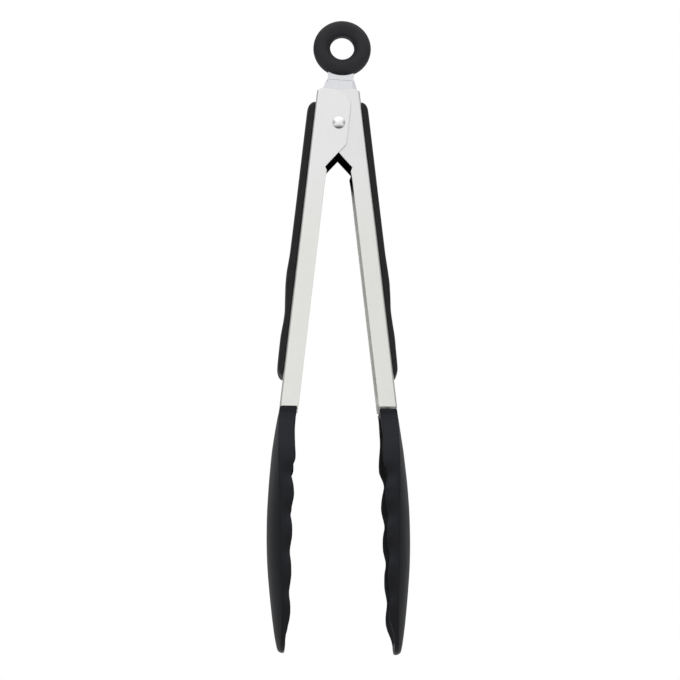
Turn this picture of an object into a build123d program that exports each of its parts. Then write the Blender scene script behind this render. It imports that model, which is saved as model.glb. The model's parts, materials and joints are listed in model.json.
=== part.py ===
from build123d import *
import math
import os

# Spring loaded kitchen tongs, hanging by the ring of their pull tab.
# Millimetres.  +Z is up, Y is the pivot axis, the jaws open along X.
# The origin is the middle of the hook hole in the hang ring.

# ---------------------------------------------------------------- driving dimensions

# hang ring: a soft torus with a short straight land round the middle of its hole
ring_radius = 11.08
ring_tube_radius = 4.72
hook_land = 3.0
hook_hole_radius = ring_radius - math.sqrt(ring_tube_radius**2 - (hook_land / 2) ** 2)

# pull tab: a pressed strip that leans a little and slides over the pivot
tab_length = 45.4
tab_lean = 2.8
tab_travel = 9.0
tab_sheet = 1.0
tab_front = 1.5
tab_face_half = 6.55
tab_neck_half = 7.0
tab_step_half = 7.6
tab_step_height = 26.9
tab_set_back = 0.25
tab_shoulder_half = 9.3
tab_shoulder_height = 21.8
tab_body_half = 8.6
tab_body_height = 20.6
tab_wing_foot = -2.0
tab_wing_root = -0.85
tab_wing_margin = 0.6
tab_wing_fold = 20.0
tab_strip_half = 5.4
tab_foot = -13.7
tab_foot_radius = 2.0
eye_inner_radius = 8.6
eye_outer_radius = 13.0
eye_neck_reach = 9.0

# arms: pressed channels, open towards each other; the right one nests in the left one
left = -1
right = 1
open_angle = 6.385
sheet = 1.0
bend_radius = 1.5
web_outer = {left: 13.75, right: 13.4}
wall_edge = 3.75
channel_half_depth = 10.25
arm_top = -18.45
arm_end = 158.4
arm_overrun = 4.0
top_corner_width = 2.5
top_corner_drop = 1.5

# ears: the walls reach across the pivot at the top of each arm
ear_edge = -5.4
ear_top_radius = 9.0
ear_foot = 11.5
notch_top = (4.6, 25.4)
notch_foot = (3.5, 27.6)
notch_end = 33.0
notch_radius = 0.7
ear_gap = 0.1
joggle_start = 20.0
joggle_end = 64.0

# pivot
rivet_radius = 2.0
rivet_head_radius = 3.4
rivet_head_height = 1.85
rivet_tail_height = 1.45
rivet_rim = 0.35
pivot_clearance = 0.06
head_clearance = 0.05
spacer_radius = 3.0
spacer_bore_radius = 2.03
spacer_end_gap = 0.1
spacer_flange_radius = 5.0
spacer_flange_thickness = 0.8
spacer_flange_gap = 0.3
slot_half_width = 3.15

# torsion spring
wire_radius = 0.6
coil_radius = 4.0
coil_pitch = 1.3
coil_start = 0.85
coil_full_turns = 3
spring_leg_angle = 18.7
spring_leg_length = 36.0

# soft grips on the outside of the arms
grip_half_width = 8.7
grip_thickness = {left: 4.1, right: 3.8}
grip_top = -11.4
grip_end = 142.3
grip_edge_radius = 2.0
grip_top_round = (0.75, 1.7, 5.0)
grip_end_round = (1.0, 1.9)

# outer line of a grip: height above the plain thickness, distance down the arm
grip_wave = {
    left: (
        (0.0, 40.0),
        (0.1, 73.0),
        (0.65, 87.0),
        (-0.15, 98.0),
        (-0.85, 107.0),
        (-0.25, 121.0),
        (-0.4, 136.0),
    ),
    right: (
        (0.0, 40.0),
        (0.05, 73.0),
        (0.45, 87.0),
        (0.05, 98.0),
        (-0.6, 107.0),
        (-0.2, 121.0),
        (-0.5, 136.0),
    ),
}
stud_places = (48.0, 90.0, 127.0)
stud_radius = 2.45
stud_hole_radius = 2.5
stud_cap_radius = 3.6
stud_cap_height = 1.2

# nylon heads
head_tip = 289.05
head_wall = 2.1
stem_start = 134.0
stem_inner = 6.6
stem_gap = 0.1
stem_corner = 0.8
shoulder_gap = {left: 0.15, right: 0.95}
head_seat = {left: -0.2, right: 0.2}
head_warp = {left: 0.0, right: 1.2}
back_warp_power = 2
rim_warp_power = 4
shoulder_fade = 50.0
neck_crease = 13.2
crease_drop = 0.5
cavity_start = 165.0
cavity_end = 284.6
cavity_full = 180.0
thick_wall = 3.4
rim_start_level = 5.3
rim_slope = -0.0783
section_skirt = 3.0
cavity_skirt = 4.0
rim_reach = -20.0
head_rivet_place = 151.0
head_rivet_spread = 5.0
head_rivet_radius = 1.5
head_rivet_sink_radius = 2.5
head_rivet_sink_taper = 45.0
head_rivet_clearance = 0.05
head_rivet_tail_radius = 2.3
head_rivet_tail_height = 0.8

# distance down the arm, half width, then levels of the back and of the side wall's crease
head_sections = (
    (166.0, 11.2, 14.05, 13.25),
    (175.0, 15.3, 14.5, 12.3),
    (184.0, 18.6, 14.75, 11.3),
    (196.0, 20.3, 14.6, 9.8),
    (211.0, 20.7, 14.0, 7.7),
    (227.0, 20.6, 12.6, 5.65),
    (243.0, 20.1, 10.4, 3.55),
    (256.0, 19.0, 7.9, 1.75),
    (267.0, 17.2, 5.5, 0.2),
    (277.0, 14.2, 3.1, -0.8),
    (284.0, 10.5, 1.2, -1.3),
    (287.8, 6.2, -0.1, -1.6),
    (head_tip, 3.0, -0.9, -1.8),
)

# scalloped edge of a head: level from the pivot line, distance down the arm
rim_points = (
    (4.2, 155.0),
    (4.5, 164.0),
    (4.35, 170.0),
    (3.1, 181.0),
    (2.1, 188.5),
    (3.25, 196.8),
    (2.05, 202.2),
    (0.9, 208.9),
    (1.6, 217.4),
    (0.05, 224.5),
    (-0.65, 230.7),
    (-0.2, 237.2),
    (-1.5, 243.2),
    (-2.55, 251.5),
    (-2.4, 257.8),
    (-3.6, 264.2),
    (-4.4, 271.0),
    (-3.5, 280.5),
    (-3.75, 286.0),
    (-3.85, 291.5),
)

# ---------------------------------------------------------------- frames

front = -1
lean = math.radians(tab_lean)
half_opening = math.radians(open_angle)
pivot = Vector(-tab_length * math.sin(lean), 0, -tab_length * math.cos(lean))
tab_across = (math.cos(lean), 0, -math.sin(lean))
tab_up = (math.sin(lean), 0, math.cos(lean))
tab_plane = Plane(origin=pivot, x_dir=tab_across, z_dir=(0, front, 0))
ear_half_depth = channel_half_depth - sheet - ear_gap
ear_inside = ear_half_depth - sheet
head_rivet_places = (
    (-head_rivet_spread, head_rivet_place),
    (head_rivet_spread, head_rivet_place),
)


def outward(side):
    """Unit vector across an arm, away from the other arm."""
    return Vector(side * math.cos(half_opening), 0, math.sin(half_opening))


def downward(side):
    """Unit vector along an arm, from the pivot to the tip."""
    return Vector(side * math.sin(half_opening), 0, -math.cos(half_opening))


def side_plane(side):
    """Side view of an arm: local x is outward, local y runs down the arm."""
    return Plane(origin=pivot, x_dir=outward(side), z_dir=(0, side, 0))


def cross_plane(side, down):
    """Section across an arm: local x runs along the pivot axis, local y outward."""
    return Plane(origin=pivot + downward(side) * down, x_dir=(0, side, 0), z_dir=downward(side))


def web_plane(side, inset=0.0):
    """Face-on view of an arm's web: local y runs down the arm, the normal is outward."""
    level = web_outer[side] - inset
    return Plane(origin=pivot + outward(side) * level, x_dir=(0, -side, 0), z_dir=outward(side))


def end_line(level, gap=0.0):
    """Distance down the arm of its end, which is cut level while the jaws are open."""
    return arm_end + gap + (level - wall_edge) * math.tan(half_opening)


def save(builder, name):
    """Label a finished piece and write its file."""
    builder.part.label = name
    export_step(builder.part, f"parts/{name}.step")


# ---------------------------------------------------------------- pull tab and ring


def build_tab():
    """Pressed steel tab: a flat face with wings folded back, a coined neck and an eye."""
    fold = math.radians(tab_wing_fold)
    wing = tab_shoulder_half + tab_wing_margin - tab_face_half
    wing_back = wing * math.tan(fold) - tab_front
    wing_skin = tab_sheet / math.cos(fold)
    inner_half = tab_face_half - tab_sheet * math.tan(fold / 2)
    back = tab_sheet * math.sqrt(2)
    section_plane = Plane(origin=pivot + Vector(*tab_up) * tab_foot, x_dir=tab_across, z_dir=tab_up)
    with BuildPart() as tab:
        with BuildSketch(section_plane):
            with BuildLine():
                Polyline(
                    (-tab_face_half - wing, wing_back),
                    (-tab_face_half, -tab_front),
                    (tab_face_half, -tab_front),
                    (tab_face_half + wing, wing_back),
                    (tab_face_half + wing, wing_back + wing_skin),
                    (inner_half, tab_sheet - tab_front),
                    (-inner_half, tab_sheet - tab_front),
                    (-tab_face_half - wing, wing_back + wing_skin),
                    close=True,
                )
            make_face()
        extrude(amount=tab_step_height - tab_foot)
        with BuildSketch(tab_plane):
            with BuildLine():
                Polyline(
                    (-tab_step_half, tab_step_height),
                    (-tab_shoulder_half, tab_shoulder_height),
                    (-tab_body_half, tab_body_height),
                    (-tab_body_half, tab_wing_foot),
                    (-tab_strip_half, tab_wing_root),
                    (-tab_strip_half, tab_foot),
                    (tab_strip_half, tab_foot),
                    (tab_strip_half, tab_wing_root),
                    (tab_body_half, tab_wing_foot),
                    (tab_body_half, tab_body_height),
                    (tab_shoulder_half, tab_shoulder_height),
                    (tab_step_half, tab_step_height),
                    close=True,
                )
            make_face()
        extrude(amount=ring_radius, both=True, mode=Mode.INTERSECT)
        # above the wings the neck is coined back a little, up to the eye
        with BuildSketch(Plane(origin=pivot, x_dir=(0, 1, 0), z_dir=tab_across)):
            with BuildLine():
                Polyline(
                    (-tab_front, tab_step_height - back),
                    (-tab_front, tab_step_height),
                    (tab_set_back - tab_front, tab_step_height + tab_set_back),
                    (tab_set_back - tab_front, tab_length - eye_neck_reach),
                    (tab_set_back - tab_front + tab_sheet, tab_length - eye_neck_reach),
                    (
                        tab_set_back - tab_front + tab_sheet,
                        tab_step_height + tab_set_back + tab_sheet - back,
                    ),
                    (tab_sheet - tab_front, tab_step_height + tab_sheet - back),
                    (tab_sheet - tab_front, tab_step_height - back),
                    close=True,
                )
            make_face()
        extrude(amount=tab_neck_half, both=True)
        with BuildSketch(tab_plane.offset(tab_front - tab_set_back)):
            with Locations((0, tab_length)):
                Circle(eye_outer_radius)
                Circle(eye_inner_radius, mode=Mode.SUBTRACT)
        extrude(amount=-tab_sheet)
        with BuildSketch(tab_plane):
            with Locations((0, -tab_travel / 2)):
                SlotCenterToCenter(tab_travel, 2 * slot_half_width, rotation=90)
        extrude(amount=ring_radius, both=True, mode=Mode.SUBTRACT)
        foot_corners = tab.edges().filter_by(Axis.Y).group_by(Axis.Z)[0]
        fillet(foot_corners, tab_foot_radius)
    return tab


def build_ring(tab):
    """Soft ring moulded over the tab's eye, with a straight land for a hook."""
    with BuildPart() as ring:
        with BuildSketch(Plane.XY):
            with Locations((ring_radius, 0)):
                Circle(ring_tube_radius)
        revolve(axis=Axis.Y)
        with BuildSketch(Plane.XZ):
            Circle(hook_hole_radius)
        extrude(amount=ring_tube_radius, both=True, mode=Mode.SUBTRACT)
        add(tab.part, mode=Mode.SUBTRACT)
    return ring


# ---------------------------------------------------------------- pivot


def build_pivot_rivet():
    """Solid rivet through both pairs of ears, with a domed head and a formed tail."""
    seat = channel_half_depth + head_clearance
    with BuildPart() as rivet:
        with BuildSketch(Plane.XY.move(Location(pivot))):
            with BuildLine():
                Line((0, -seat - rivet_head_height), (0, seat + rivet_tail_height))
                TangentArc(
                    (0, seat + rivet_tail_height),
                    (rivet_head_radius, seat + rivet_rim),
                    tangent=(1, 0),
                )
                Polyline(
                    (rivet_head_radius, seat + rivet_rim),
                    (rivet_head_radius, seat),
                    (rivet_radius, seat),
                    (rivet_radius, -seat),
                    (rivet_head_radius, -seat),
                    (rivet_head_radius, -seat - rivet_rim),
                )
                TangentArc(
                    (0, -seat - rivet_head_height),
                    (rivet_head_radius, -seat - rivet_rim),
                    tangent=(1, 0),
                )
            make_face()
        revolve(axis=Axis(pivot, (0, 1, 0)))
    return rivet


def build_spacer():
    """Tube between the inner ears; its flange keeps the tab in the middle."""
    half_length = ear_inside - spacer_end_gap
    with BuildPart() as spacer:
        with BuildSketch(side_plane(1)):
            Circle(spacer_radius)
        extrude(amount=half_length, both=True)
        with BuildSketch(tab_plane.offset(tab_front + spacer_flange_gap)):
            Circle(spacer_flange_radius)
        extrude(amount=spacer_flange_thickness)
        with BuildSketch(side_plane(1)):
            Circle(spacer_bore_radius)
        extrude(amount=half_length, both=True, mode=Mode.SUBTRACT)
    return spacer


def build_spring():
    """Torsion spring on the spacer: a close coil with one leg along each arm's web."""
    leg = math.radians(spring_leg_angle)
    turns = coil_full_turns + 0.5 - 2 * spring_leg_angle / 360
    with BuildPart() as wire:
        with BuildLine() as coil:
            Helix(coil_pitch, coil_pitch * turns, coil_radius)
        first_direction = coil.line % 0
        last_direction = coil.line % 1
        with BuildSketch(Plane(origin=coil.line @ 0, z_dir=first_direction)):
            Circle(wire_radius)
        sweep(path=coil.line, is_frenet=True)
        with BuildSketch(Plane(origin=coil.line @ 0, z_dir=first_direction * -1)):
            Circle(wire_radius)
        extrude(amount=spring_leg_length)
        with BuildSketch(Plane(origin=coil.line @ 1, z_dir=last_direction)):
            Circle(wire_radius)
        extrude(amount=spring_leg_length)
    # the coil starts at the left, a little above the pivot, and winds over the top
    coil_plane = Plane(
        origin=pivot + Vector(0, coil_start, 0),
        x_dir=(-math.cos(leg), 0, math.sin(leg)),
        z_dir=(0, 1, 0),
    )
    with BuildPart() as spring:
        add(wire.part.moved(coil_plane.location))
    return spring


# ---------------------------------------------------------------- arms


def arm_outline(side):
    """Corner points of an arm in its side view, from the web's end round to the wall's end."""
    web = web_outer[side]
    return (
        (web + top_corner_drop, end_line(web + top_corner_drop)),
        (web + top_corner_drop, arm_top + top_corner_width),
        (web - top_corner_width, arm_top),
        (ear_edge + ear_top_radius, arm_top),
        (ear_edge, arm_top + ear_top_radius),
        (ear_edge, ear_foot),
        notch_top,
        notch_foot,
        (wall_edge, notch_end),
        (wall_edge, end_line(wall_edge)),
    )


def build_arm(side, stretches):
    """Channel arm; each stretch is (start, half depth, end, half depth) down the arm."""
    low = 2 * ear_edge
    corners = arm_outline(side)
    with BuildPart() as arm:
        for inset, mode in ((0.0, Mode.ADD), (sheet, Mode.SUBTRACT)):
            top = web_outer[side] - inset
            for start, start_half, end, end_half in stretches:
                for down, half in ((start, start_half), (end, end_half)):
                    with BuildSketch(cross_plane(side, down)) as section:
                        with Locations((0, (top + low) / 2)):
                            Rectangle(2 * (half - inset), top - low)
                        fillet(section.vertices().group_by(Axis.Y)[-1], bend_radius - inset)
                loft(mode=mode)
        with BuildSketch(side_plane(side)) as outline:
            with BuildLine():
                Polyline(*corners[:4])
                RadiusArc(corners[3], corners[4], ear_top_radius)
                Polyline(*corners[4:], corners[0])
            make_face()
            fillet(outline.vertices().sort_by_distance(notch_top)[0], notch_radius)
            fillet(outline.vertices().sort_by_distance(notch_foot)[0], notch_radius)
        extrude(amount=2 * channel_half_depth, both=True, mode=Mode.INTERSECT)
        with BuildSketch(side_plane(side)):
            Circle(rivet_radius + pivot_clearance)
        extrude(amount=2 * channel_half_depth, both=True, mode=Mode.SUBTRACT)
        with BuildSketch(web_plane(side)):
            for place in stud_places:
                with Locations((0, place)):
                    Circle(stud_hole_radius)
        extrude(amount=-2 * sheet, mode=Mode.SUBTRACT)
        with BuildSketch(web_plane(side)):
            with Locations(*head_rivet_places):
                Circle(head_rivet_sink_radius + head_rivet_clearance)
        extrude(amount=-sheet, taper=head_rivet_sink_taper, mode=Mode.SUBTRACT)
    return arm


# ---------------------------------------------------------------- grips


def build_grip(side):
    """Soft pad along an arm's web, held by moulded studs that snap through the web."""
    web = web_outer[side]
    top = web + grip_thickness[side]
    wave = [(top + rise, down) for rise, down in grip_wave[side]]
    corner_in, corner_drop, corner_reach = grip_top_round
    heel_in, heel_rise = grip_end_round
    heel_top = wave[-1][0]
    with BuildPart() as grip:
        with BuildSketch(side_plane(side)):
            with BuildLine():
                Line((web, grip_end), (web, grip_top))
                ThreePointArc(
                    (web, grip_top),
                    (top - corner_in, grip_top + corner_drop),
                    (top, grip_top + corner_reach),
                )
                Line((top, grip_top + corner_reach), wave[0])
                Spline(*wave, tangents=((0, 1), (-0.1, 1)))
                ThreePointArc(wave[-1], (heel_top - heel_in, grip_end - heel_rise), (web, grip_end))
            make_face()
        extrude(amount=grip_half_width, both=True)
        side_edges = grip.faces().filter_by(Axis.Y).edges()
        fillet(side_edges.sort_by(Edge.length)[:-2], grip_edge_radius)
        with BuildSketch(web_plane(side)):
            for place in stud_places:
                with Locations((0, place)):
                    Circle(stud_radius)
        extrude(amount=-sheet)
        with BuildSketch(web_plane(side, sheet)):
            for place in stud_places:
                with Locations((0, place)):
                    Circle(stud_cap_radius)
        extrude(amount=-stud_cap_height)
    return grip


# ---------------------------------------------------------------- heads


def rim_level(down):
    """Mean level of a head's edge at a distance down the arm."""
    return rim_start_level + rim_slope * (down - arm_end)


def warp(side, down, power):
    """How far a head is bent outward at a distance down the arm."""
    reach = max(0.0, down - arm_end) / (head_tip - arm_end)
    return head_warp[side] * reach**power


def back_shift(side, down):
    """What a head's back needs to start flush with its own arm's web."""
    mean_web = (web_outer[left] + web_outer[right]) / 2
    fade = max(0.0, 1 - (down - arm_end) / shoulder_fade)
    return (web_outer[side] - mean_web) * fade


def shell_section(side, section, wall, skirt):
    """One section of a head: flat side walls, a crease and an arched back, less the wall."""
    down, half_width, back, crease = section
    shift = back_shift(side, down) + warp(side, down, back_warp_power)
    base = rim_level(down) - skirt
    half = half_width - wall
    corner = crease + shift - crease_drop * wall
    with BuildSketch(cross_plane(side, down + head_seat[side])) as sketch:
        with BuildLine():
            Polyline((-half, corner), (-half, base), (half, base), (half, corner))
            ThreePointArc((half, corner), (0, back + shift - wall), (-half, corner))
        make_face()
    return sketch.sketch


def build_head(side):
    """Spoon-shaped nylon head: a stem in the arm, a hollow shell and scalloped rims."""
    gap = shoulder_gap[side]
    web = web_outer[side]
    mean_web = (web_outer[left] + web_outer[right]) / 2
    neck = (arm_end - head_seat[side], channel_half_depth, mean_web, neck_crease)
    hollows = [s for s in head_sections if cavity_start < s[0] < cavity_end]
    rim = [
        (level + warp(side, down, rim_warp_power), down + head_seat[side])
        for level, down in rim_points
    ]
    with BuildPart() as head:
        loft([shell_section(side, section, 0.0, section_skirt) for section in (neck,) + head_sections])
        loft(
            [
                shell_section(
                    side, section, head_wall if section[0] > cavity_full else thick_wall, cavity_skirt
                )
                for section in hollows
            ],
            mode=Mode.SUBTRACT,
        )
        with BuildSketch(side_plane(side)):
            with BuildLine():
                Spline(*rim)
                Polyline(rim[-1], (rim_reach, rim[-1][1]), (rim_reach, rim[0][1]), rim[0])
            make_face()
        extrude(amount=3 * channel_half_depth, both=True, mode=Mode.SUBTRACT)
        with BuildSketch(side_plane(side)):
            with BuildLine():
                Polyline(
                    (rim_reach, end_line(rim_reach, gap)),
                    (-rim_reach, end_line(-rim_reach, gap)),
                    (-rim_reach, stem_start),
                    (rim_reach, stem_start),
                    close=True,
                )
            make_face()
        extrude(amount=3 * channel_half_depth, both=True, mode=Mode.SUBTRACT)
        with BuildSketch(cross_plane(side, stem_start)) as stem:
            with Locations((0, (stem_inner + web - sheet - stem_gap) / 2)):
                Rectangle(2 * (channel_half_depth - sheet - stem_gap), web - sheet - stem_gap - stem_inner)
            fillet(stem.vertices(), stem_corner)
        extrude(amount=end_line(web, gap) - stem_start + arm_overrun)
        with BuildSketch(web_plane(side)):
            with Locations(*head_rivet_places):
                Circle(head_rivet_radius + head_rivet_clearance)
        extrude(amount=stem_inner - web, mode=Mode.SUBTRACT)
    return head


def build_head_rivets(side):
    """Two rivets, flush with the web, through the stem of a head."""
    with BuildPart() as rivets:
        with BuildSketch(web_plane(side, head_rivet_clearance)):
            with Locations(*head_rivet_places):
                Circle(head_rivet_sink_radius)
        extrude(amount=-sheet, taper=head_rivet_sink_taper)
        with BuildSketch(web_plane(side, sheet)):
            with Locations(*head_rivet_places):
                Circle(head_rivet_radius)
        extrude(amount=stem_inner + sheet - web_outer[side])
        with BuildSketch(web_plane(side, web_outer[side] - stem_inner)):
            with Locations(*head_rivet_places):
                Circle(head_rivet_tail_radius)
        extrude(amount=-head_rivet_tail_height)
    return rivets


# ---------------------------------------------------------------- all pieces

os.makedirs("parts", exist_ok=True)

pull_tab = build_tab()
save(pull_tab, "pull_tab")
hang_ring = build_ring(pull_tab)
save(hang_ring, "hang_ring")
save(build_pivot_rivet(), "pivot_rivet")
save(build_spacer(), "spacer_tube")
save(build_spring(), "torsion_spring")

arm_reach = arm_end + arm_overrun
outer_stretches = ((arm_top, channel_half_depth, arm_reach, channel_half_depth),)
nested_stretches = (
    (arm_top, ear_half_depth, joggle_start, ear_half_depth),
    (joggle_start, ear_half_depth, joggle_end, channel_half_depth),
    (joggle_end, channel_half_depth, arm_reach, channel_half_depth),
)
for name, side, stretches in (("left", left, outer_stretches), ("right", right, nested_stretches)):
    save(build_arm(side, stretches), f"{name}_arm")
    save(build_grip(side), f"{name}_grip")
    save(build_head(side), f"{name}_head")
    save(build_head_rivets(side), f"{name}_head_rivets")
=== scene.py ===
import json
import math

import bpy
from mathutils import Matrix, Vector


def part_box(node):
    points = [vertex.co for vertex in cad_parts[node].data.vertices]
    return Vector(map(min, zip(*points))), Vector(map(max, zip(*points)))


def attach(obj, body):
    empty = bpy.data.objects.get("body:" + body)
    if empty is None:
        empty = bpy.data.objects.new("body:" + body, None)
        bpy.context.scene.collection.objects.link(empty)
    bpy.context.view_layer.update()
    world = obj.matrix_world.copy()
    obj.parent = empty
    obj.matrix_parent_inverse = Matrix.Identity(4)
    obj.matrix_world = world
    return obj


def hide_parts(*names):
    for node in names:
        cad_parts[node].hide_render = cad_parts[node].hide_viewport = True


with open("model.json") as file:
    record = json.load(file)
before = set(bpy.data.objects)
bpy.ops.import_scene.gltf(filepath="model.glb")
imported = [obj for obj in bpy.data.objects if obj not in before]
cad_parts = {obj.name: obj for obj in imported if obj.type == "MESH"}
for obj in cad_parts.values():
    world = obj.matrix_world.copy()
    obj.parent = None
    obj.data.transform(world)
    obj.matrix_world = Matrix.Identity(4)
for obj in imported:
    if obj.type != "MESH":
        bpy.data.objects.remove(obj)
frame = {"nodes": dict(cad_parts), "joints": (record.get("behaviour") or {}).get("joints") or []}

# Spring loaded kitchen tongs.  Metres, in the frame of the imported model.
# Arm coordinates are millimetres from the pivot: u outward, s down the arm, y along the pivot.

# ---------------------------------------------------------------- frame

MM = 0.001
LEFT, RIGHT = -1, 1
SIDES = ((LEFT, "left"), (RIGHT, "right"))
OPEN_ANGLE = math.radians(6.385)
HINGE = next(j for j in frame["joints"] if j["name"] == "left_hinge")
PIVOT = Vector(HINGE["pos_m"])
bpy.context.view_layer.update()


def arm_point(side, u, s, y):
    """A point given in arm coordinates, in the row frame."""
    sine, cosine = math.sin(OPEN_ANGLE), math.cos(OPEN_ANGLE)
    return PIVOT + MM * Vector((side * (s * sine + u * cosine), y, u * sine - s * cosine))


# ---------------------------------------------------------------- curves and meshes


def smooth_curve(points):
    """Natural-looking cubic through (x, value) points, with no overshoot between them."""
    xs = [p[0] for p in points]
    ys = [p[1] for p in points]
    slopes = []
    steps = [(ys[i + 1] - ys[i]) / (xs[i + 1] - xs[i]) for i in range(len(xs) - 1)]
    for i in range(len(xs)):
        if i == 0 or i == len(xs) - 1:
            slopes.append(steps[0] if i == 0 else steps[-1])
        elif steps[i - 1] * steps[i] <= 0:
            slopes.append(0.0)
        else:
            slopes.append(2 * steps[i - 1] * steps[i] / (steps[i - 1] + steps[i]))

    def value(x):
        x = min(max(x, xs[0]), xs[-1])
        i = 0
        while i < len(xs) - 2 and x > xs[i + 1]:
            i += 1
        width = xs[i + 1] - xs[i]
        t = (x - xs[i]) / width
        a = ys[i] * (1 + 2 * t) * (1 - t) ** 2
        b = slopes[i] * width * t * (1 - t) ** 2
        c = ys[i + 1] * t * t * (3 - 2 * t)
        d = slopes[i + 1] * width * t * t * (t - 1)
        return a + b + c + d

    return value


def bump_at(x, middle, half_width):
    """1 at the middle, falling smoothly to 0 at half_width away."""
    t = abs(x - middle) / half_width
    return 0.0 if t >= 1 else (1 - t * t) ** 2


def ramp(x, start, end):
    """0 before start, 1 after end, smooth between."""
    t = min(max((x - start) / (end - start), 0.0), 1.0)
    return t * t * (3 - 2 * t)


def loft_mesh(name, loops, body, material, stands_for, capped=True):
    """Skin rows of equal length, cap the ends or join them in a ring, and hang it on a body."""
    count = len(loops[0])
    vertices = [p for loop in loops for p in loop]
    faces = []
    for i in range(len(loops) - 1 if capped else len(loops)):
        k = (i + 1) % len(loops)
        for j in range(count):
            n = (j + 1) % count
            faces.append((i * count + j, i * count + n, k * count + n, k * count + j))
    if capped:
        for row, flip in ((0, True), (len(loops) - 1, False)):
            middle = sum((Vector(p) for p in loops[row]), Vector()) / count
            vertices.append(middle)
            hub = len(vertices) - 1
            for j in range(count):
                a, b = row * count + j, row * count + (j + 1) % count
                faces.append((hub, b, a) if flip else (hub, a, b))
    mesh = bpy.data.meshes.new(name)
    mesh.from_pydata([tuple(v) for v in vertices], [], faces)
    mesh.polygons.foreach_set("use_smooth", [True] * len(mesh.polygons))
    mesh.update()
    piece = bpy.data.objects.new(name, mesh)
    bpy.context.scene.collection.objects.link(piece)
    make_normals_face_out(mesh)
    mesh.materials.append(material)
    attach(piece, body)
    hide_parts(stands_for)
    return piece


def make_normals_face_out(mesh):
    """Turn every face round when the closed mesh has a negative volume."""
    volume = 0.0
    for polygon in mesh.polygons:
        points = [mesh.vertices[i].co for i in polygon.vertices]
        for i in range(1, len(points) - 1):
            volume += points[0].dot(points[i].cross(points[i + 1]))
    if volume < 0:
        mesh.flip_normals()


# ---------------------------------------------------------------- materials


class Shader:
    """A material's node tree with short ways of adding and joining nodes."""

    def __init__(self, name):
        self.material = bpy.data.materials.new(name)
        self.material.use_nodes = True
        self.tree = self.material.node_tree
        self.surface = self.tree.nodes["Principled BSDF"]
        place = self.add("ShaderNodeTexCoord")
        self.coords = place.outputs["Object"]
        self.facing = place.outputs["Normal"]

    def add(self, kind, settings=None, inputs=None):
        made = self.tree.nodes.new(kind)
        for key, value in (settings or {}).items():
            setattr(made, key, value)
        for key, value in (inputs or {}).items():
            self.feed(made.inputs[key], value)
        return made

    def feed(self, socket, value):
        if isinstance(value, bpy.types.NodeSocket):
            self.tree.links.new(value, socket)
        else:
            socket.default_value = value

    def math(self, operation, a, b=0.0, clamp=False):
        made = self.add("ShaderNodeMath", {"operation": operation, "use_clamp": clamp})
        self.feed(made.inputs[0], a)
        self.feed(made.inputs[1], b)
        return made.outputs[0]

    def remap(self, value, low, high, to_low, to_high):
        made = self.add("ShaderNodeMapRange")
        for key, item in zip(("Value", "From Min", "From Max", "To Min", "To Max"),
                             (value, low, high, to_low, to_high)):
            self.feed(made.inputs[key], item)
        return made.outputs["Result"]

    def noise(self, vector, scale, detail=3.0, roughness=0.5):
        made = self.add("ShaderNodeTexNoise")
        self.feed(made.inputs["Vector"], vector)
        made.inputs["Scale"].default_value = scale
        made.inputs["Detail"].default_value = detail
        made.inputs["Roughness"].default_value = roughness
        return made.outputs["Fac"]

    def stretched(self, stretch, turn=0.0):
        made = self.add("ShaderNodeMapping")
        self.feed(made.inputs["Vector"], self.coords)
        made.inputs["Rotation"].default_value = (0.0, turn, 0.0)
        made.inputs["Scale"].default_value = stretch
        return made.outputs["Vector"]

    def mix(self, factor, a, b):
        made = self.add("ShaderNodeMix", {"data_type": "RGBA"})
        self.feed(made.inputs["Factor"], factor)
        self.feed(made.inputs["A"], a)
        self.feed(made.inputs["B"], b)
        return made.outputs["Result"]

    def bump(self, height, strength, distance, normal=None):
        made = self.add("ShaderNodeBump")
        self.feed(made.inputs["Height"], height)
        made.inputs["Strength"].default_value = strength
        made.inputs["Distance"].default_value = distance
        if normal is not None:
            self.feed(made.inputs["Normal"], normal)
        return made.outputs["Normal"]

    def downward(self, low, high):
        """1 where the surface faces down past the level low, 0 above the level high."""
        split = self.add("ShaderNodeSeparateXYZ", inputs={"Vector": self.facing})
        return self.remap(split.outputs["Z"], low, high, 1.0, 0.0)

    def rounded(self, radius):
        """Normals as if every sharp edge were rounded."""
        made = self.add("ShaderNodeBevel", {"samples": 6})
        made.inputs["Radius"].default_value = radius
        return made.outputs["Normal"]

    def finish(self, color, roughness, normal, metallic=0.0, specular=0.5):
        self.feed(self.surface.inputs["Base Color"], color)
        self.feed(self.surface.inputs["Roughness"], roughness)
        self.feed(self.surface.inputs["Normal"], normal)
        self.surface.inputs["Metallic"].default_value = metallic
        self.surface.inputs["Specular IOR Level"].default_value = specular
        return self.material


def gray(level, warm=0.0):
    return (level * (1 + warm), level, level * (1 - warm), 1.0)


def scaled(color, factor):
    return tuple(c * factor for c in color) + (1.0,)


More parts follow.
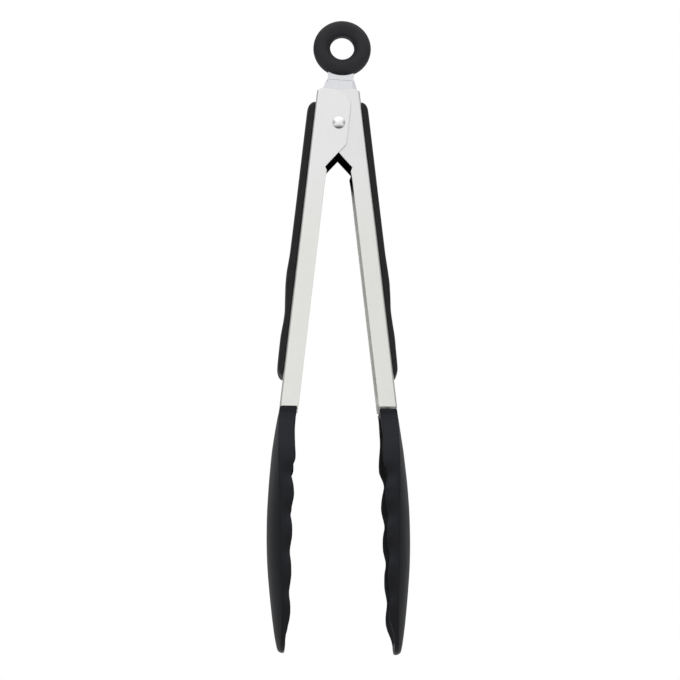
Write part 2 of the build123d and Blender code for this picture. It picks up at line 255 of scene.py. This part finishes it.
def brushed_steel(name, side, level, tint, rough, inside=None, edge=0.0004):
    """Satin steel brushed lengthwise, with faint smudges, painted light that brightens the top round
    the pivot, and painted shade that makes the insides nearly black.

    inside is (half depth, level of the web's inner face) of an arm's hollow, in metres.
    """
    s = Shader(name)
    turn = side * OPEN_ANGLE
    along = s.stretched((1.0, 1.0, 0.035), turn)
    fine = s.noise(along, 5200.0, 4.0, 0.6)
    coarse = s.noise(along, 1100.0, 3.0, 0.5)
    smudge = s.noise(s.coords, 45.0, 3.0, 0.5)
    grain = s.math("ADD", s.math("MULTIPLY", fine, 0.6), s.math("MULTIPLY", coarse, 0.4))
    light = tuple(level * t for t in tint) + (1.0,)
    dark = tuple(level * 0.9 * t for t in tint) + (1.0,)
    color = s.mix(grain, dark, light)
    color = s.mix(s.remap(smudge, 0.45, 0.8, 0.0, 0.12), color, gray(level * 0.8))
    if inside:
        half_depth, web_inside = inside
        place = s.add("ShaderNodeSeparateXYZ", inputs={"Vector": s.coords})
        # cleaner round the pivot, and painted light: brighter there, towards the top of the arms
        clean_and_painted_light_top = s.remap(place.outputs["Z"], PIVOT.z - 0.07, PIVOT.z - 0.02, 0.0, 1.0)
        color = s.mix(clean_and_painted_light_top, color, s.mix(grain, gray(level * 0.935), gray(level * 1.01)))
        # painted shade: the insides of the channel round the pivot are darkened by position,
        # standing in for the deep shadow inside the channel
        outward = Vector((side * math.cos(OPEN_ANGLE), 0.0, math.sin(OPEN_ANGLE)))
        dot = s.add("ShaderNodeVectorMath", {"operation": "DOT_PRODUCT"})
        s.feed(dot.inputs[0], s.coords)
        dot.inputs[1].default_value = outward
        level_out = s.math("SUBTRACT", dot.outputs["Value"], PIVOT.dot(outward))
        depth = s.math("ABSOLUTE", place.outputs["Y"])
        inner = s.remap(depth, half_depth, half_depth + 0.0001, 1.0, 0.0)
        under = s.remap(level_out, web_inside + 0.0003, web_inside + 0.0004, 1.0, 0.0)
        high = s.remap(place.outputs["Z"], PIVOT.z - 0.05, PIVOT.z - 0.03, 0.0, 1.0)
        shade = s.math("MULTIPLY", s.math("MULTIPLY", inner, under), high, clamp=True)
        color = s.mix(shade, color, gray(0.004))
    roughness = s.math("ADD", s.remap(grain, 0.3, 0.7, rough - 0.05, rough + 0.06),
                       s.remap(smudge, 0.4, 0.8, 0.0, 0.08))
    normal = s.bump(grain, 0.14, 0.00004, s.rounded(edge))
    s.surface.inputs["Anisotropic"].default_value = 0.35
    return s.finish(color, roughness, normal, metallic=1.0)


def polished_steel(name, level, rough):
    """Bright turned steel with light scratches."""
    s = Shader(name)
    rings = s.noise(s.stretched((1.0, 4.0, 1.0)), 1500.0, 4.0, 0.6)
    wear = s.noise(s.coords, 260.0, 2.0, 0.5)
    color = s.mix(s.remap(wear, 0.4, 0.75, 0.0, 0.5), gray(level), gray(level * 0.8))
    # painted shade: dark on the side that faces down, in place of the dark the domed steel reflects
    # from below
    color = s.mix(s.downward(-0.62, -0.3), color, gray(level * 0.16))
    roughness = s.remap(rings, 0.3, 0.7, rough, rough + 0.08)
    normal = s.bump(rings, 0.08, 0.00003, s.rounded(0.0002))
    return s.finish(color, roughness, normal, metallic=1.0)


def soft_rubber(name, level, rough, specular):
    """Matte moulded rubber with an eroded grain and slightly polished high spots."""
    s = Shader(name)
    fine = s.noise(s.coords, 3800.0, 3.0, 0.6)
    blotch = s.noise(s.coords, 90.0, 4.0, 0.6)
    tone = s.mix(s.remap(fine, 0.35, 0.65, 0.0, 1.0), scaled(level, 0.8), scaled(level, 1.2))
    color = s.mix(s.remap(blotch, 0.5, 0.75, 0.0, 0.35), tone, scaled(level, 1.5))
    roughness = s.math("ADD", s.remap(blotch, 0.35, 0.7, rough + 0.05, rough - 0.05),
                       s.remap(fine, 0.3, 0.7, -0.04, 0.04))
    normal = s.bump(fine, 0.35, 0.00006)
    return s.finish(color, roughness, normal, specular=specular)


def moulded_nylon(name, level, rough, specular):
    """Satin glass-filled nylon: fine spark texture and faint flow marks."""
    s = Shader(name)
    fine = s.noise(s.coords, 2600.0, 4.0, 0.65)
    flow = s.noise(s.stretched((1.0, 1.0, 0.25)), 140.0, 3.0, 0.5)
    tone = s.mix(fine, scaled(level, 0.85), scaled(level, 1.15))
    color = s.mix(s.remap(flow, 0.5, 0.8, 0.0, 0.3), tone, scaled(level, 1.4))
    # painted light and shade: lighter where it faces up, darker where it faces down, to show the
    # ripple of the walls
    color = s.mix(s.downward(-0.26, 0.2), scaled(level, 1.9), s.mix(0.7, color, scaled(level, 0.35)))
    roughness = s.math("ADD", s.remap(flow, 0.3, 0.7, rough - 0.03, rough + 0.05),
                       s.remap(fine, 0.3, 0.7, -0.03, 0.03))
    normal = s.bump(fine, 0.22, 0.00004)
    return s.finish(color, roughness, normal, specular=specular)


STEEL_TINT = (1.0, 1.004, 0.962)
MATERIALS = {
    "left_arm": brushed_steel("arm_steel_left", LEFT, 0.81, STEEL_TINT, 0.30, (0.0096, 0.01275)),
    # the right arm is the same steel as the left; its lower level is painted shade
    "right_arm": brushed_steel("arm_steel_right", RIGHT, 0.785, STEEL_TINT, 0.30, (0.0085, 0.0124)),
    "pull_tab": brushed_steel("tab_steel", 0, 0.77, (0.985, 1.0, 1.03), 0.28),
    "rivet": polished_steel("rivet_steel", 0.9, 0.26),
    "spring": polished_steel("spring_steel", 0.42, 0.26),
    "ring": soft_rubber("ring_rubber", (0.0112, 0.0104, 0.0138), 0.60, 0.32),
    "grip": soft_rubber("grip_rubber", (0.0086, 0.0086, 0.0088), 0.62, 0.24),
    "head": moulded_nylon("head_nylon", (0.0042, 0.0047, 0.0068), 0.46, 0.18),
}

CAD_FINISH = {
    "left_arm": "left_arm",
    "right_arm": "right_arm",
    "pull_tab": "pull_tab",
    "pivot_rivet": "rivet",
    "spacer_tube": "rivet",
    "torsion_spring": "spring",
    "left_head_rivets": "rivet",
    "right_head_rivets": "rivet",
}
for cad_name, finish in CAD_FINISH.items():
    kept = frame["nodes"][cad_name]
    kept.data.materials.clear()
    kept.data.materials.append(MATERIALS[finish])

# ---------------------------------------------------------------- hang ring

RING_RADIUS = 11.08
RING_TUBE = 4.72
RING_LAND = 1.5
SEAM_DEPTH = 0.12
SEAM_HALF_ANGLE = 0.035


def ring_section():
    """(radius, y) round the tube, with a flat land in the hole and a parting line outside."""
    points = []
    count = 96
    for i in range(count):
        angle = 2 * math.pi * i / count
        off_seam = min(abs(angle), abs(2 * math.pi - angle)) / SEAM_HALF_ANGLE
        tube = RING_TUBE - SEAM_DEPTH * max(0.0, 1 - off_seam)
        radius = RING_RADIUS + tube * math.cos(angle)
        y = tube * math.sin(angle)
        radius = max(radius, RING_RADIUS - math.sqrt(RING_TUBE**2 - RING_LAND**2))
        points.append((radius, y))
    return points


def build_ring():
    low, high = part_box("hang_ring")
    middle = (low + high) / 2
    section = ring_section()
    loops = []
    for i in range(160):
        turn = 2 * math.pi * i / 160
        loops.append([
            middle + MM * Vector((radius * math.cos(turn), y, radius * math.sin(turn)))
            for radius, y in section
        ])
    return loft_mesh("ring_moulding", loops, "pull_tab", MATERIALS["ring"],
                     "hang_ring", capped=False)


build_ring()

# ---------------------------------------------------------------- soft grips

WEB = {LEFT: 13.75, RIGHT: 13.4}
GRIP_TOP, GRIP_END = -11.4, 142.3
GRIP_HALF = 8.7
GRIP_HEIGHT = {
    LEFT: smooth_curve((
        (-11.4, 0.8), (-11.1, 1.6), (-10.6, 2.4), (-9.7, 3.2), (-8.6, 3.72), (-7.2, 4.02),
        (-4.0, 4.1), (10.0, 4.1), (40.0, 4.1), (73.0, 4.2), (80.0, 4.5), (85.0, 4.75),
        (90.0, 4.6), (98.0, 3.95), (107.0, 3.25), (112.0, 3.35), (117.0, 3.7), (121.0, 3.9),
        (128.0, 3.85), (134.0, 3.75), (138.0, 3.5), (140.4, 2.7), (141.6, 1.8), (142.3, 0.6),
    )),
    RIGHT: smooth_curve((
        (-11.4, 0.7), (-11.1, 1.4), (-10.6, 2.15), (-9.7, 2.95), (-8.6, 3.45), (-7.2, 3.72),
        (-4.0, 3.8), (10.0, 3.8), (40.0, 3.8), (73.0, 3.85), (80.0, 4.05), (85.0, 4.25),
        (90.0, 4.3), (95.0, 4.05), (98.0, 3.85), (107.0, 3.2), (113.0, 3.35), (121.0, 3.63),
        (128.0, 3.45), (134.0, 3.32), (138.0, 3.1), (140.4, 2.4), (141.6, 1.6), (142.3, 0.6),
    )),
}
GRIP_ROUND = 4.0


def grip_half_width(s):
    """Half width of a grip: rounded ends, and a shallow finger notch on both edges."""
    reach = min(s - GRIP_TOP, GRIP_END - s)
    end = GRIP_ROUND - min(reach, GRIP_ROUND)
    rounded = GRIP_ROUND - math.sqrt(max(GRIP_ROUND**2 - end**2, 0.0))
    return GRIP_HALF - 0.75 * rounded - 0.55 * bump_at(s, 84.5, 4.5)


def build_grip(side, name):
    steps = 300
    loops = []
    for i in range(steps + 1):
        t = i / steps
        eased = 0.5 - 0.5 * math.cos(math.pi * t)
        s = GRIP_TOP + (GRIP_END - GRIP_TOP) * (0.55 * t + 0.45 * eased)
        half = grip_half_width(s)
        height = GRIP_HEIGHT[side](s)
        loop = []
        for j in range(49):
            angle = math.pi * j / 48
            y = half * math.copysign(abs(math.cos(angle)) ** 0.5, math.cos(angle))
            u = height * math.sin(angle) ** 0.55 if 0 < j < 48 else 0.0
            loop.append(arm_point(side, WEB[side] + u, s, y))
        for j in range(1, 8):
            loop.append(arm_point(side, WEB[side], s, -half + 2 * half * j / 8))
        loops.append(loop)
    return loft_mesh(f"{name}_grip_moulding", loops, f"{name}_arm", MATERIALS["grip"],
                     f"{name}_grip")


for side, name in SIDES:
    build_grip(side, name)

# ---------------------------------------------------------------- heads

ARM_END = 158.4
WALL_EDGE = 3.75
HEAD_TIP = 289.05
HEAD_GAP = {LEFT: 0.15, RIGHT: 0.95}
HEAD_SEAT = {LEFT: -0.2, RIGHT: 0.2}
HEAD_WARP = {LEFT: 0.0, RIGHT: 1.2}
BACK_TRIM = {LEFT: 0.1, RIGHT: -0.12}
TIP_TRIM = {LEFT: 0.5, RIGHT: 0.0}
RIM_TRIM = {
    LEFT: smooth_curve((
        (158.0, 0.0), (175.0, 0.08), (184.0, 0.22), (196.0, 0.15), (202.0, -0.1), (232.0, -0.05),
        (239.0, -0.28), (244.0, -0.15), (260.0, -0.08), (289.05, 0.0),
    )),
    RIGHT: smooth_curve((
        (158.0, -0.3), (168.0, -0.45), (175.0, -0.2), (182.0, -0.33), (188.0, -0.1),
        (195.0, 0.1), (199.0, 0.0), (230.0, -0.15), (262.0, 0.0), (272.0, -0.3), (278.0, 0.0),
        (282.0, 0.2), (289.05, 0.0),
    )),
}
HEAD_WALL = 2.1
HAIR = 0.015
MEAN_WEB = (WEB[LEFT] + WEB[RIGHT]) / 2
HEAD_WIDTH = smooth_curve((
    (158.4, 10.25), (162.0, 10.3), (166.0, 11.2), (170.0, 13.1), (175.0, 15.3), (184.0, 18.6),
    (196.0, 20.3), (211.0, 20.65), (227.0, 20.55), (243.0, 20.1), (256.0, 19.0), (267.0, 17.2),
    (277.0, 14.2), (281.0, 12.3), (284.0, 10.4), (286.3, 8.3), (287.8, 6.2), (288.6, 4.5),
    (289.05, 2.6),
))
HEAD_BACK = smooth_curve((
    (158.4, 13.575), (162.0, 13.75), (166.0, 14.05), (175.0, 14.5), (184.0, 14.75), (196.0, 14.6),
    (211.0, 14.0), (227.0, 12.6), (243.0, 10.4), (256.0, 7.9), (267.0, 5.5), (277.0, 3.1),
    (284.0, 1.2), (287.8, -0.1), (289.05, -0.9),
))
HEAD_CREASE = smooth_curve((
    (158.4, 13.3), (162.0, 13.3), (166.0, 13.25), (175.0, 12.3), (184.0, 11.3), (196.0, 9.8),
    (211.0, 7.7), (227.0, 5.65), (243.0, 3.55), (256.0, 1.75), (267.0, 0.2), (277.0, -0.8),
    (284.0, -1.3), (287.8, -1.6), (289.05, -1.8),
))
HEAD_RIM = smooth_curve((
    (155.0, 4.2), (164.0, 4.45), (170.0, 4.3), (175.0, 3.85), (181.0, 3.0), (188.5, 2.0),
    (192.0, 2.75), (194.5, 3.35), (196.6, 3.5), (199.0, 2.9), (202.2, 1.95), (205.0, 1.3),
    (208.9, 0.8), (212.5, 1.05), (215.5, 1.4), (217.4, 1.52), (219.2, 1.3), (221.5, 0.62),
    (224.5, -0.1), (227.5, -0.5), (230.7, -0.72), (234.0, -0.5), (237.2, -0.25), (239.5, -0.5),
    (243.2, -1.55), (247.0, -2.2), (251.5, -2.65), (255.0, -2.6), (258.2, -2.5), (260.5, -2.75),
    (264.2, -3.65), (268.0, -4.3), (271.0, -4.5), (274.0, -4.35), (277.0, -3.95),
    (280.5, -3.6), (283.0, -3.6), (286.0, -3.85), (289.1, -3.95),
))
VALLEYS = (196.8, 217.4, 237.2, 258.0)
CREASE_ROUND = 1.6
SIDE_STEPS = 14
BACK_STEPS = 26
INNER_STEPS = 24
RIM_STEPS = 7


def walls_and_back(half, back, crease, level, radius):
    """One half of a section: side wall from a level up, rounded crease, arch to the middle."""
    rise = max(back - crease, 0.05)
    arch = (half**2 + rise**2) / (2 * rise)
    lean = math.asin(min(half / arch, 1.0))
    # the corner circle touches the side wall and the inside of the arch
    reach = arch - radius
    side_y = half - radius
    centre_u = back - arch + math.sqrt(max(reach**2 - side_y**2, 0.0))
    centre_u = max(centre_u, level + 0.05)
    turn = math.atan2(centre_u - (back - arch), side_y)
    points = []
    for i in range(SIDE_STEPS):
        points.append((level + (centre_u - level) * i / SIDE_STEPS, half))
    for i in range(9):
        angle = turn * i / 8
        points.append((centre_u + radius * math.sin(angle), side_y + radius * math.cos(angle)))
    top_u, top_y = points[-1]
    for i in range(1, BACK_STEPS + 1):
        y = top_y * (1 - i / BACK_STEPS)
        flat = back - arch + math.sqrt(max(arch**2 - y**2, 0.0))
        ends = back - arch + math.sqrt(max(arch**2 - top_y**2, 0.0))
        points.append((flat + (top_u - ends) * (y / top_y) ** 4, y))
    return points


def head_section(side, down):
    """Closed (u, y) loop of a head's section: outside, rounded rim, hollow, rounded rim."""
    reach = max(0.0, down - ARM_END) / (HEAD_TIP - ARM_END)
    bend = HEAD_WARP[side] * reach**2
    shift = (WEB[side] - MEAN_WEB) * max(0.0, 1 - (down - ARM_END) / 50.0)
    # the moulding stays a hair inside the solid it covers
    shift += BACK_TRIM[side] * bump_at(down, 182.0, 24.0) - HAIR
    half = HEAD_WIDTH(down)
    back = HEAD_BACK(down) + shift + bend
    crease = HEAD_CREASE(down) + shift + bend
    rim = HEAD_RIM(down) + HEAD_WARP[side] * reach**4 + RIM_TRIM[side](down)
    edge = min(0.95, 0.3 * (crease - rim), 0.45 * half)
    radius = min(CREASE_ROUND, 0.3 * (crease - rim + 0.5), 0.4 * half) * ramp(down, 150.0, 170.0)
    radius = max(radius, 0.5)
    outer = walls_and_back(half, back, crease, rim + edge, radius)
    # ripple of the side walls with the scallops, strongest at the rim
    wave = sum(bump_at(down, v, 8.0) for v in VALLEYS) + 0.5 * bump_at(down, 280.0, 7.0)
    tall = max(crease - rim, 0.1)
    outer = [(u, y - 1.5 * wave * max(0.0, 1 - (u - rim) / tall) ** 0.8 * min(1.0, y / 6.0))
             for u, y in outer]
    hollow = ramp(down, 160.0, 166.0) * (1 - ramp(down, 279.0, 285.0))
    wall = HEAD_WALL + 1.2 * (1 - ramp(down, 172.0, 182.0))
    inner_half = max(half - wall, 0.4 * half)
    inner_back = back - wall
    inner_crease = crease - 0.5 * wall
    y_out = outer[0][1]
    y_in = min(inner_half, y_out - 1.6 * edge)
    floor_u = max(inner_crease, rim + edge + 0.1)
    inner = []
    for i in range(INNER_STEPS + 1):
        angle = math.pi / 2 * i / INNER_STEPS
        y = y_in * math.cos(angle) ** 0.7 if i < INNER_STEPS else 0.0
        u = rim + edge + (max(inner_back, floor_u) - rim - edge) * math.sin(angle) ** 0.7
        inner.append((u, y))
    hollow_line = [(rim + (u - rim) * hollow, y) for u, y in inner]
    # rim: from the outside round to the hollow
    rim_arc = []
    middle = (y_out + y_in) / 2
    span = (y_out - y_in) / 2
    for i in range(1, RIM_STEPS + 1):
        angle = math.pi * i / (RIM_STEPS + 1)
        round_y = middle + span * math.copysign(abs(math.cos(angle)) ** 0.7, math.cos(angle))
        side_level = outer[0][0] if i <= RIM_STEPS / 2 else hollow_line[0][0]
        rim_arc.append((side_level - (side_level - rim) * math.sin(angle) ** 0.7, round_y))
    right_half = list(reversed(outer[:-1])) + rim_arc + hollow_line[:-1]
    loop = [(outer[-1][0], 0.0)] + right_half + [(hollow_line[-1][0], 0.0)]
    loop += [(u, -y) for u, y in reversed(right_half)]
    if down > 288.0:
        # blunt rounded tip
        nose = (down - 288.0) / (HEAD_TIP - 288.0)
        squeeze = 0.35 + 0.65 * math.sqrt(max(1 - nose**2, 0.0))
        middle_u = (back + rim) / 2
        loop = [(middle_u + (u - middle_u) * squeeze, y) for u, y in loop]
    return loop


def shoulder_shift(side, u):
    """The head's top is cut level while the jaws are open."""
    return HEAD_GAP[side] + (u - WALL_EDGE) * math.tan(OPEN_ANGLE)


def build_head(side, name):
    loops = []
    stations = []
    down = ARM_END
    while down < HEAD_TIP:
        stations.append(down)
        down += 0.35 if down < 164 or down > 285 else 0.8
    stations.append(HEAD_TIP)
    for index, down in enumerate(stations):
        loop = []
        slant = 1 - ramp(down, ARM_END, ARM_END + 7.0)
        # a small chamfer round the shoulder
        inset = 0.35 * (1 - ramp(down, ARM_END, ARM_END + 0.7))
        for u, y in head_section(side, down):
            s = down + HEAD_SEAT[side] + slant * (shoulder_shift(side, u) - HEAD_SEAT[side])
            s -= TIP_TRIM[side] * ramp(down, 278.0, HEAD_TIP)
            if inset:
                y -= math.copysign(min(inset, abs(y)), y)
                u += inset if u < 9 else -inset
            loop.append(arm_point(side, u, s, y))
        loops.append(loop)
    return loft_mesh(f"{name}_head_moulding", loops, f"{name}_arm", MATERIALS["head"],
                     f"{name}_head")


for side, name in SIDES:
    build_head(side, name)

# ---------------------------------------------------------------- floor, light and camera

scene = bpy.context.scene
scene.view_settings.view_transform = "Standard"
scene.view_settings.look = "None"
scene.view_settings.exposure = 0.0
scene.view_settings.gamma = 1.0

FLOOR_LEVEL = -0.75
FLOOR_HALF = 6.0


def build_floor():
    mesh = bpy.data.meshes.new("floor")
    corners = [(x * FLOOR_HALF, y * FLOOR_HALF, FLOOR_LEVEL)
               for x, y in ((-1, -1), (1, -1), (1, 1), (-1, 1))]
    mesh.from_pydata(corners, [], [(0, 1, 2, 3)])
    piece = bpy.data.objects.new("floor", mesh)
    scene.collection.objects.link(piece)
    s = Shader("floor_paper")
    cloud = s.noise(s.coords, 6.0, 3.0, 0.5)
    color = s.mix(cloud, gray(0.93), gray(0.95))
    fine = s.noise(s.coords, 900.0, 2.0, 0.5)
    mesh.materials.append(s.finish(color, 0.8, s.bump(fine, 0.05, 0.0001), specular=0.2))


# direction from, direction to, strength from, strength to
WORLD_SIDES = (0.6, 1.0, 0.97, 0.3)
WORLD_BEHIND = (0.1, 0.8, 1.0, 0.55)
WORLD_ABOVE = (0.45, 0.9, 1.0, 1.35)


def build_world():
    """White to the camera; a studio with darker sides and back to everything else."""
    world = bpy.data.worlds.new("studio")
    world.use_nodes = True
    tree = world.node_tree
    background = tree.nodes["Background"]
    coords = tree.nodes.new("ShaderNodeTexCoord")
    split = tree.nodes.new("ShaderNodeSeparateXYZ")
    tree.links.new(coords.outputs["Generated"], split.inputs[0])

    def arithmetic(operation, *sources):
        made = tree.nodes.new("ShaderNodeMath")
        made.operation = operation
        for socket, source in zip(made.inputs, sources):
            tree.links.new(source, socket)
        return made.outputs[0]

    def fade(source, limits):
        made = tree.nodes.new("ShaderNodeMapRange")
        made.interpolation_type = "SMOOTHSTEP"
        for key, value in zip(("From Min", "From Max", "To Min", "To Max"), limits):
            made.inputs[key].default_value = value
        tree.links.new(source, made.inputs["Value"])
        return made.outputs["Result"]

    sides = fade(arithmetic("ABSOLUTE", split.outputs["X"]), WORLD_SIDES)
    behind = fade(split.outputs["Y"], WORLD_BEHIND)
    above = fade(split.outputs["Z"], WORLD_ABOVE)
    strength = arithmetic("MULTIPLY", arithmetic("MULTIPLY", sides, behind), above)
    light = tree.nodes.new("ShaderNodeBackground")
    tree.links.new(strength, light.inputs["Strength"])
    light.inputs["Color"].default_value = (1.0, 1.0, 1.0, 1.0)
    background.inputs["Color"].default_value = (1.0, 1.0, 1.0, 1.0)
    background.inputs["Strength"].default_value = 1.0
    path = tree.nodes.new("ShaderNodeLightPath")
    join = tree.nodes.new("ShaderNodeMixShader")
    tree.links.new(path.outputs["Is Camera Ray"], join.inputs[0])
    tree.links.new(light.outputs[0], join.inputs[1])
    tree.links.new(background.outputs[0], join.inputs[2])
    tree.links.new(join.outputs[0], tree.nodes["World Output"].inputs["Surface"])
    scene.world = world


def build_light(name, place, aim, size, power):
    lamp = bpy.data.lights.new(name, "AREA")
    lamp.shape = "RECTANGLE"
    lamp.size, lamp.size_y = size
    lamp.energy = power
    holder = bpy.data.objects.new(name, lamp)
    scene.collection.objects.link(holder)
    holder.location = place
    holder.rotation_mode = "QUATERNION"
    holder.rotation_quaternion = (Vector(aim) - Vector(place)).to_track_quat("-Z", "Y")


CAMERA_AZIMUTH, CAMERA_HEIGHT = math.radians(-2.647), math.radians(-13.243)
CAMERA_DISTANCE = 1.6665
CAMERA_AIM = (1.073, 0.0, -118.62)
CAMERA_SENSOR, CAMERA_LENS = 36.0, 164.573


def build_camera():
    lens = bpy.data.cameras.new("photo_camera")
    lens.sensor_width = CAMERA_SENSOR
    lens.lens = CAMERA_LENS
    lens.clip_start = 0.05
    lens.clip_end = 50.0
    holder = bpy.data.objects.new("photo_camera", lens)
    scene.collection.objects.link(holder)
    level = math.cos(CAMERA_HEIGHT)
    back = Vector((math.sin(CAMERA_AZIMUTH) * level, -math.cos(CAMERA_AZIMUTH) * level,
                   math.sin(CAMERA_HEIGHT)))
    holder.location = PIVOT + MM * Vector(CAMERA_AIM) + CAMERA_DISTANCE * back
    holder.rotation_mode = "QUATERNION"
    holder.rotation_quaternion = (-back).to_track_quat("-Z", "Y")
    scene.camera = holder


build_floor()
build_world()
build_light("key", (-0.5, -1.1, 0.9), (0.0, 0.0, -0.15), (0.8, 0.8), 1.0)
build_camera()
